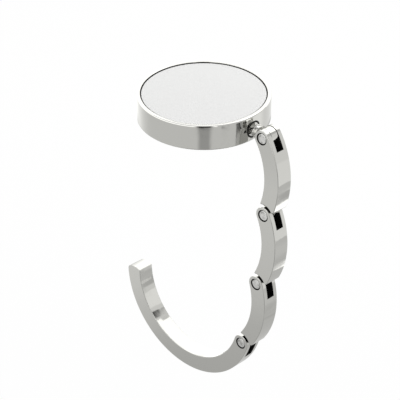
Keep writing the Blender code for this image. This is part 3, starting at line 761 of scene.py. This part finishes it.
# The three links: castings bent to the ring that the chain folds into, polished and plated. Two ears with a
# slot between them take the tongue above, and a tongue below a hollow shoulder goes into the next one's slot.
RING_RADIUS = 21.4
EAR_RADIUS = 2.4
LINK_HALF = 2.5
LINK_EDGE = 0.2
LINK_ANGLE = math.radians(61.0)
OPENINGS = np.radians([36.0, 53.0, 53.0, 26.0])
SLOT_HALF = 1.25
SLOT_DEPTH = 4.6
WEB_FACE = 1.7
WEB_TOP = 1.75
WEB_KNEE = 2.3
SHOULDER_RADIUS = 3.25
OUTER_SHOULDER_ROUND = 0.7
INNER_SHOULDER_ROUND = 0.25
LINK_TONGUE_RADIUS = 1.95
LINK_TONGUE_ROOT = 6.0
HEEL_GAP = 0.06
HEAD_RECESS = (1.65, 0.59)
FAR_RECESS = (1.30, 0.49)
RIVET_SEGMENTS = 64
WEB_LEANS = np.radians([20.9, 8.1, 8.1, 8.1])
RING_CENTRE = np.array([-RING_RADIUS, 0.0])
RING_INNER = RING_RADIUS - EAR_RADIUS
RING_OUTER = RING_RADIUS + EAR_RADIUS
SLOT_START = -math.asin(SLOT_DEPTH / RING_OUTER)
WEB_START = -math.asin(WEB_TOP / RING_INNER)
LOWER_PIN = RING_CENTRE + polar(RING_RADIUS, -LINK_ANGLE)


def fork(body_runs, web_lean):
    """The patches of a link or hook: its walls and faces, the slot between its ears and the seats of its pin.

    body_runs are the parts of the outline below the slot, clockwise from the slot's outer end down, round the
    far end, and up to the top of the web, each with whether it is an inner surface. The web's top is cut back
    by its height above the knee times the tangent of its lean.
    """
    ear_run = chain_arcs(
        bend(RING_CENTRE, RING_INNER, WEB_START, 0, 5, side=-1),
        bend((0, 0), EAR_RADIUS, math.pi, 0, 61),
        bend(RING_CENTRE, RING_OUTER, 0, SLOT_START, 12))
    whole = chain_arcs(ear_run, *(run for run, _ in body_runs))
    patches = [
        side_wall(*run, -LINK_HALF, LINK_HALF, LINK_EDGE, LINK_EDGE, inner) for run, inner in body_runs]
    patches.append(side_wall(*ear_run, -LINK_HALF, -SLOT_HALF, LINK_EDGE, 0))
    patches.append(side_wall(*ear_run, SLOT_HALF, LINK_HALF, 0, LINK_EDGE))
    inset = whole[0] - whole[1] * LINK_EDGE
    # The pins' seats and the slot's walls and faces are inner patches, which take the near-black painted
    # shade.
    for side, (radius, depth) in ((-1, HEAD_RECESS), (1, FAR_RECESS)):
        hole = bend((0, 0), radius, 0, 2 * math.pi, RIVET_SEGMENTS + 1)[0][:-1]
        patches.append(flat_face(inset, side * LINK_HALF, side, [hole]))
        rim, foot = side * LINK_HALF, side * (LINK_HALF - depth)
        seat_wall = [(radius, rim), (radius, foot)]
        seat_floor = [(radius, foot), (0, foot)]
        patches.append(spun(seat_wall, [(-1, 0)] * 2, "Y", RIVET_SEGMENTS, inner=True))
        patches.append(spun(seat_floor, [(0, side)] * 2, "Y", RIVET_SEGMENTS, inner=True))
    cut_back = (WEB_KNEE - WEB_TOP) * math.tan(web_lean)
    slot = np.array([ear_run[0][-1], (-WEB_FACE, -SLOT_DEPTH), (-WEB_FACE, -WEB_KNEE),
                     (-WEB_FACE - cut_back, -WEB_TOP), ear_run[0][0]])
    inner = np.vstack([ear_run[0], slot[1:-1]])
    patches.append(flat_face(inner, -SLOT_HALF, 1, inner=True))
    patches.append(flat_face(inner, SLOT_HALF, -1, inner=True))
    for start, end in zip(slot, slot[1:]):
        way = (end - start) / np.linalg.norm(end - start)
        facing = np.array([way[1], -way[0]])
        pair = np.array([start, end])
        rows = [stood(pair, np.array([facing, facing]), across, 0) for across in (-SLOT_HALF, SLOT_HALF)]
        patches.append(strip(rows, inner=True))
    return patches


def shoulder_turn(side_radius, corner):
    """The angle at the ring's centre between the lower pin and the middle of a shoulder corner's round.

    It follows from the three sides of their triangle, by the law of cosines.
    """
    far = SHOULDER_RADIUS + corner
    return math.acos((side_radius ** 2 + RING_RADIUS ** 2 - far ** 2) / (2 * side_radius * RING_RADIUS))


def heading(start, end):
    """The angle in radians of the way from one point to another."""
    return math.atan2(end[1] - start[1], end[0] - start[0])


def link_body_runs():
    """A link's outline below its slot: ring arcs at the sides, and a hollow shoulder round the lower pin."""
    outer_middle_radius = RING_OUTER - OUTER_SHOULDER_ROUND
    inner_middle_radius = RING_INNER + INNER_SHOULDER_ROUND
    outer_turn = LINK_ANGLE - shoulder_turn(outer_middle_radius, OUTER_SHOULDER_ROUND)
    inner_turn = LINK_ANGLE - shoulder_turn(inner_middle_radius, INNER_SHOULDER_ROUND)
    outer_middle = RING_CENTRE + polar(outer_middle_radius, -outer_turn)
    inner_middle = RING_CENTRE + polar(inner_middle_radius, -inner_turn)
    to_outer = heading(outer_middle, LOWER_PIN)
    to_inner = heading(inner_middle, LOWER_PIN)
    outer_side = chain_arcs(
        bend(RING_CENTRE, RING_OUTER, SLOT_START, -outer_turn, 40),
        bend(outer_middle, OUTER_SHOULDER_ROUND, -outer_turn, to_outer, 12))
    # The hollow round the lower pin is an inner run, which takes the near-black painted shade.
    hollow = bend(LOWER_PIN, SHOULDER_RADIUS, to_outer + math.pi, to_inner + math.pi, 36, side=-1)
    inner_side = chain_arcs(
        bend(inner_middle, INNER_SHOULDER_ROUND, to_inner, -inner_turn - math.pi, 10),
        bend(RING_CENTRE, RING_INNER, -inner_turn, WEB_START, 44, side=-1))
    return [(outer_side, False), (hollow, True), (inner_side, False)]


def link_tongue(opening):
    """The tongue below a link's shoulder, with the heel that meets the next web when that hinge is open.

    The heel's back leaves the tongue's round where a line from the next web's knee touches it, an arc cosine
    of the round over the knee's distance from the pin, and its tip lies an arc cosine of the round over its
    reach on.
    """
    knee = math.hypot(WEB_FACE, WEB_KNEE)
    face_turn = math.pi - math.atan2(WEB_KNEE, WEB_FACE) - opening
    face_turn += math.acos((LINK_TONGUE_RADIUS + HEEL_GAP) / knee)
    flank = math.acos(LINK_TONGUE_RADIUS / HEEL_REACH)
    corner = -LINK_ANGLE - face_turn + flank
    root = LINK_ANGLE - LINK_TONGUE_ROOT / RING_RADIUS
    points = np.vstack([
        bend(RING_CENTRE, RING_RADIUS + LINK_TONGUE_RADIUS, -root, -LINK_ANGLE, 8)[0],
        bend(LOWER_PIN, LINK_TONGUE_RADIUS, -LINK_ANGLE, corner + flank, 16)[0][1:],
        LOWER_PIN + polar(HEEL_REACH, corner),
        bend(LOWER_PIN, LINK_TONGUE_RADIUS, -LINK_ANGLE - face_turn, -LINK_ANGLE - math.pi, 16)[0],
        bend(RING_CENTRE, RING_RADIUS - LINK_TONGUE_RADIUS, -LINK_ANGLE, -root, 8)[0][1:]])
    return plate(*rounded_path(points[::-1], 0), TONGUE_HALF, TONGUE_EDGE)


bodies = ["upper_link", "middle_link", "lower_link"]
turn = -OPENINGS[0]
for number, body in enumerate(bodies, start=1):
    casting = fork(link_body_runs(), WEB_LEANS[number - 1]) + link_tongue(OPENINGS[number])
    patches = placed(casting, turn, pin_place(number))
    piece(f"link_{number}_casting", patches, [chrome, painted_shade_finish], "chrome_plate", body, f"link_{number}")
    turn += LINK_ANGLE - OPENINGS[number]


# The hook: a casting like the links', polished and plated, with the same fork, that runs on along the ring. A
# bag hangs in it. It ends in a square tip with rounded corners and a low crown.
HOOK_ANGLE = math.radians(162.0)
TIP_OUTER_ROUND = 1.1
TIP_INNER_ROUND = 0.5
TIP_CROWN_RADIUS = 4.2


def crown_centre(outer, inner):
    """The centre of the arc over the tip's end, which runs on from the two corner rounds with these centres.

    It lies at the crown's radius less the round's own from each, and is found as two circles meet. It is
    along the line between them by a, which is (p squared - q squared + d squared) over 2d, and square to the
    line by the root of p squared - a squared, with p and q the two distances and d the length of the line.
    """
    line = inner - outer
    apart = np.linalg.norm(line)
    to_outer = TIP_CROWN_RADIUS - TIP_OUTER_ROUND
    to_inner = TIP_CROWN_RADIUS - TIP_INNER_ROUND
    along = (to_outer ** 2 - to_inner ** 2 + apart ** 2) / (2 * apart)
    square = math.sqrt(to_outer ** 2 - along ** 2)
    line /= apart
    return outer + along * line + square * np.array([line[1], -line[0]])


def hook_body_runs():
    """The hook's outline below its slot: ring arcs at the sides, and arcs round the tip's corners and end."""
    outer_middle_radius = RING_OUTER - TIP_OUTER_ROUND
    inner_middle_radius = RING_INNER + TIP_INNER_ROUND
    outer_turn = HOOK_ANGLE - math.asin(TIP_OUTER_ROUND / outer_middle_radius)
    inner_turn = HOOK_ANGLE - math.asin(TIP_INNER_ROUND / inner_middle_radius)
    outer_middle = RING_CENTRE + polar(outer_middle_radius, -outer_turn)
    inner_middle = RING_CENTRE + polar(inner_middle_radius, -inner_turn)
    crown = crown_centre(outer_middle, inner_middle)
    to_outer = heading(crown, outer_middle) % (2 * math.pi) - 2 * math.pi
    to_inner = heading(crown, inner_middle) % (2 * math.pi) - 2 * math.pi
    run = chain_arcs(
        bend(RING_CENTRE, RING_OUTER, SLOT_START, -outer_turn, 150),
        bend(outer_middle, TIP_OUTER_ROUND, -outer_turn, to_outer, 12),
        bend(crown, TIP_CROWN_RADIUS, to_outer, to_inner, 16),
        bend(inner_middle, TIP_INNER_ROUND, to_inner, -inner_turn - math.pi, 10),
        bend(RING_CENTRE, RING_INNER, -inner_turn, WEB_START, 140, side=-1))
    return [(run, False)]


patches = placed(fork(hook_body_runs(), WEB_LEANS[3]), turn, pin_place(4))
piece("hook_casting", patches, [chrome, painted_shade_finish], "chrome_plate", "hook", "hook_arm")


# The hinge pins: rivets of plated steel, with a low domed head in a seat in the near ear and a smaller formed
# end in the far ear. Their ends are a little hammered, with small dark dents.
PIN_RADIUS = 0.8
PIN_HALF = 2.46
HEAD_RADIUS = 1.38
HEAD_THICKNESS = 0.5
FAR_RADIUS = 1.15
FAR_THICKNESS = 0.4
DOME_RISE = 0.1
PIN_ROUNDS = (0, 0.15, 0.05, 0.05, 0.05, 0.05, 0.15, 0)

rivet = new_finish("rivet_steel", Metallic=1.0, Roughness=0.17)
dents = mottling(rivet, Scale=900.0, Detail=3.0, Roughness=0.6)
coloured(rivet, dents, dark=(0.30, 0.30, 0.29), light=(0.66, 0.66, 0.65), start=0.34, end=0.52)
bumped(rivet, dents, strength=0.25, depth=0.0001)

pin_corners = [
    (0, -PIN_HALF), (HEAD_RADIUS, DOME_RISE - PIN_HALF), (HEAD_RADIUS, HEAD_THICKNESS - PIN_HALF),
    (PIN_RADIUS, HEAD_THICKNESS - PIN_HALF), (PIN_RADIUS, PIN_HALF - FAR_THICKNESS),
    (FAR_RADIUS, PIN_HALF - FAR_THICKNESS), (FAR_RADIUS, PIN_HALF - DOME_RISE), (0, PIN_HALF),
]
profile = rounded_path(pin_corners, PIN_ROUNDS, closed=False)
for number, body in enumerate([*bodies, "hook"], start=1):
    patches = placed([spun(*profile, "Y", RIVET_SEGMENTS)], 0, pin_place(number))
    piece(f"rivet_{number}", patches, [rivet], "pin_steel", body, f"hinge_pin_{number}")
